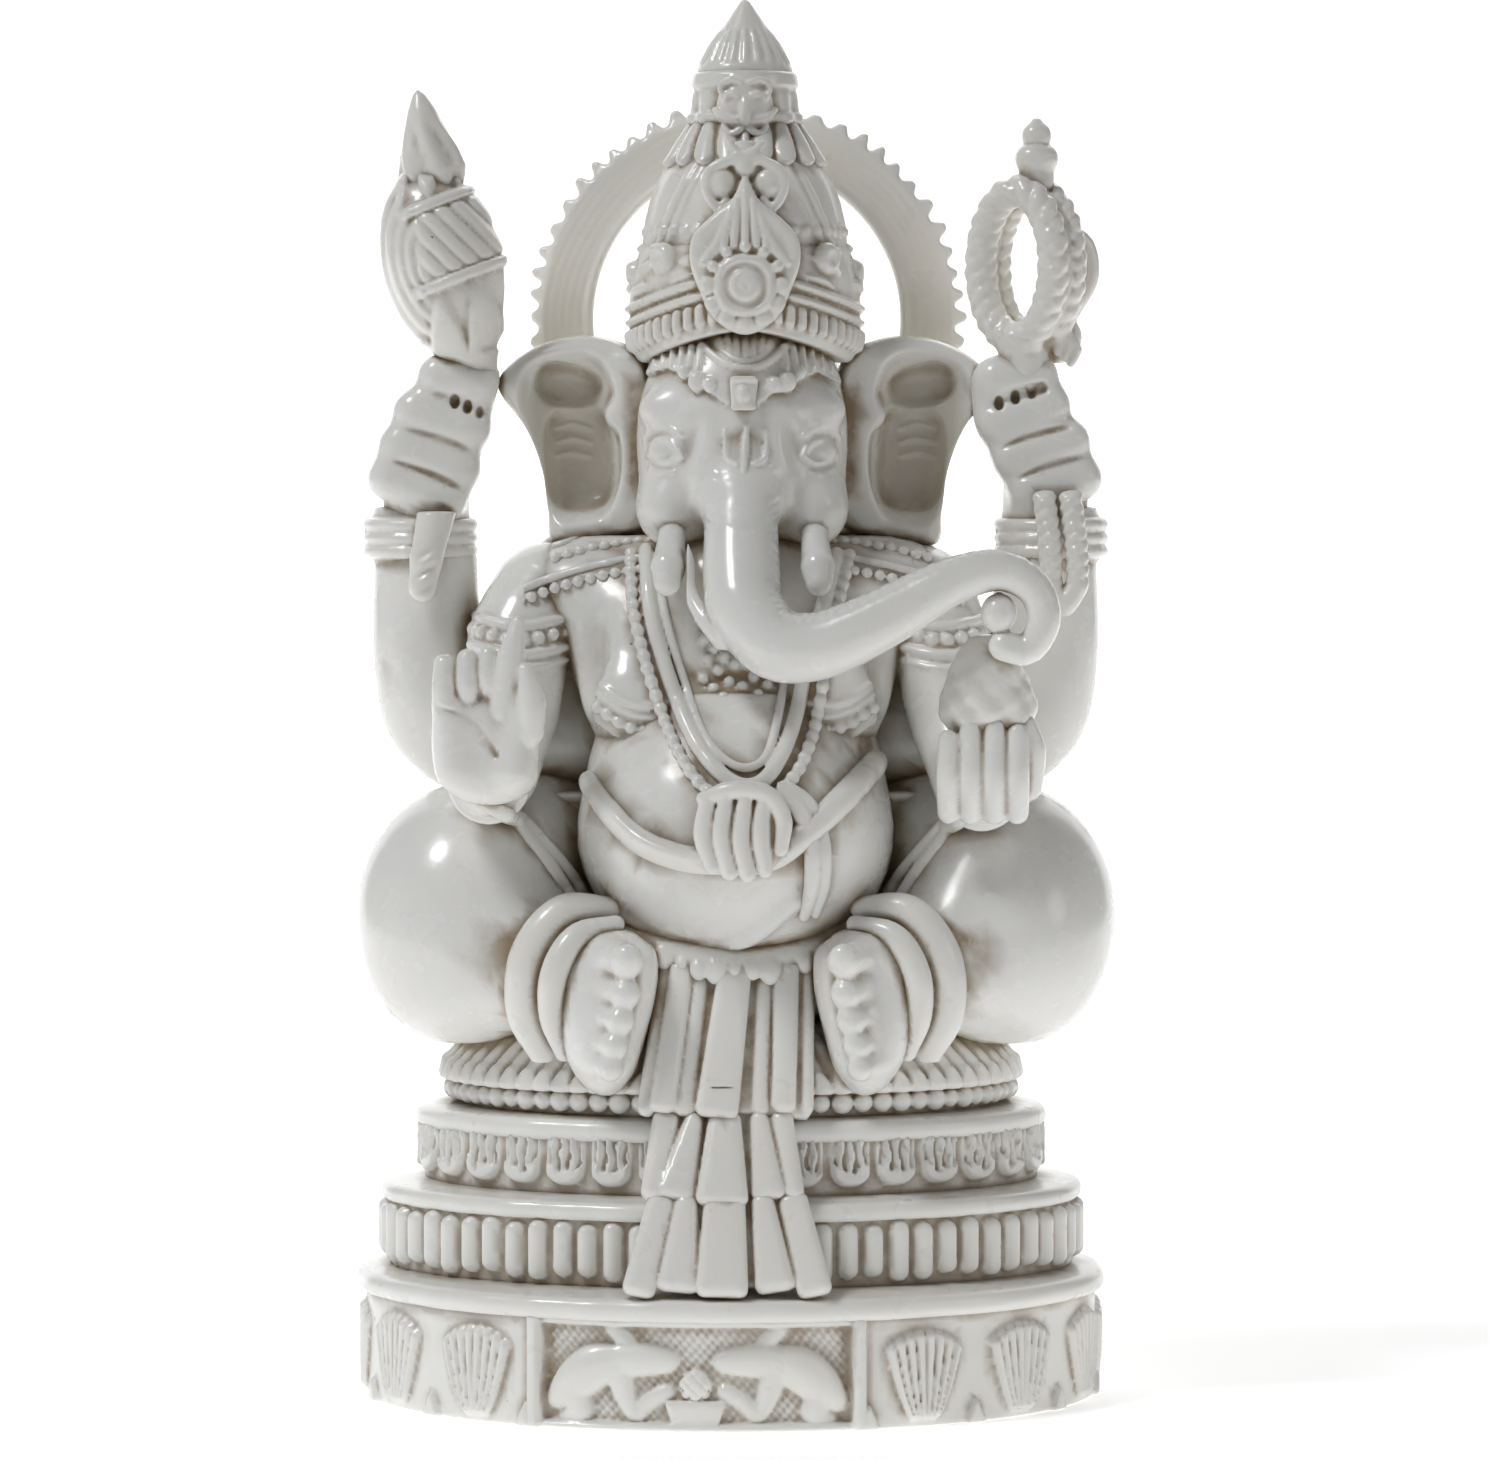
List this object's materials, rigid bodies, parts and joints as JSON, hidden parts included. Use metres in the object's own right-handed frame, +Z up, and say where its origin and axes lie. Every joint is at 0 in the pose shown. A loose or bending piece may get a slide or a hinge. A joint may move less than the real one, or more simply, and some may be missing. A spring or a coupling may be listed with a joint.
{
  "type": "ganesha idol",
  "caption": "Seated four-armed elephant-headed idol in pale carved stone, with a toothed halo, tall crown and oval tiered plinth, for an altar or shelf.",
  "frame": {"origin": "centre of the plinth's underside, where the idol rests", "axes": "+Z up, +X towards the figure's own left side, +Y towards its back, so it faces -Y"},
  "size_m": [0.0814, 0.062, 0.15],
  "materials": {
    "plinth_stone": "satin",
    "figure_stone": "gloss",
    "ornament_stone": "satin"
  },
  "bodies": {
    "root": {"plinth_lower": "plinth_stone", "lip_lower": "plinth_stone", "plinth_middle": "plinth_stone", "lip_middle": "plinth_stone", "plinth_upper": "plinth_stone", "lip_upper": "plinth_stone", "bead_ring": "plinth_stone", "lotus_seat": "plinth_stone", "belly": "figure_stone", "chest": "figure_stone", "hips": "figure_stone", "head": "figure_stone", "trunk": "figure_stone", "right_tusk": "figure_stone", "left_tusk": "figure_stone", "neck": "figure_stone", "right_ear": "figure_stone", "left_ear": "figure_stone", "halo": "ornament_stone", "crown_band": "ornament_stone", "crown_dome": "ornament_stone", "crown_petal_tier": "ornament_stone", "crown_drum": "ornament_stone", "crown_finial": "ornament_stone", "crown_leaf_plate": "ornament_stone", "forehead_pendant": "ornament_stone", "right_foot": "figure_stone", "left_foot": "figure_stone", "right_anklet": "ornament_stone", "left_anklet": "ornament_stone", "right_leg": "figure_stone", "left_leg": "figure_stone", "mace": "ornament_stone", "mace_finial": "ornament_stone", "mace_handle_end": "ornament_stone", "noose_ring": "ornament_stone", "noose_finial": "ornament_stone", "noose_cord": "ornament_stone", "right_rear_hand": "figure_stone", "left_rear_hand": "figure_stone", "right_cuff": "ornament_stone", "left_cuff": "ornament_stone", "right_rear_arm": "figure_stone", "left_rear_arm": "figure_stone", "right_front_hand": "figure_stone", "left_front_hand": "figure_stone", "sweets_heap": "ornament_stone", "right_front_arm": "figure_stone", "left_front_arm": "figure_stone", "belt_snake": "ornament_stone", "belt_knot": "ornament_stone", "belt_tail": "ornament_stone", "garland": "ornament_stone", "collar": "ornament_stone", "waist_band": "ornament_stone", "right_shawl_end": "ornament_stone", "left_shawl_end": "ornament_stone", "drapery_upper": "ornament_stone", "drapery_middle": "ornament_stone", "drapery_lower": "ornament_stone"}
  },
  "joints": []
}
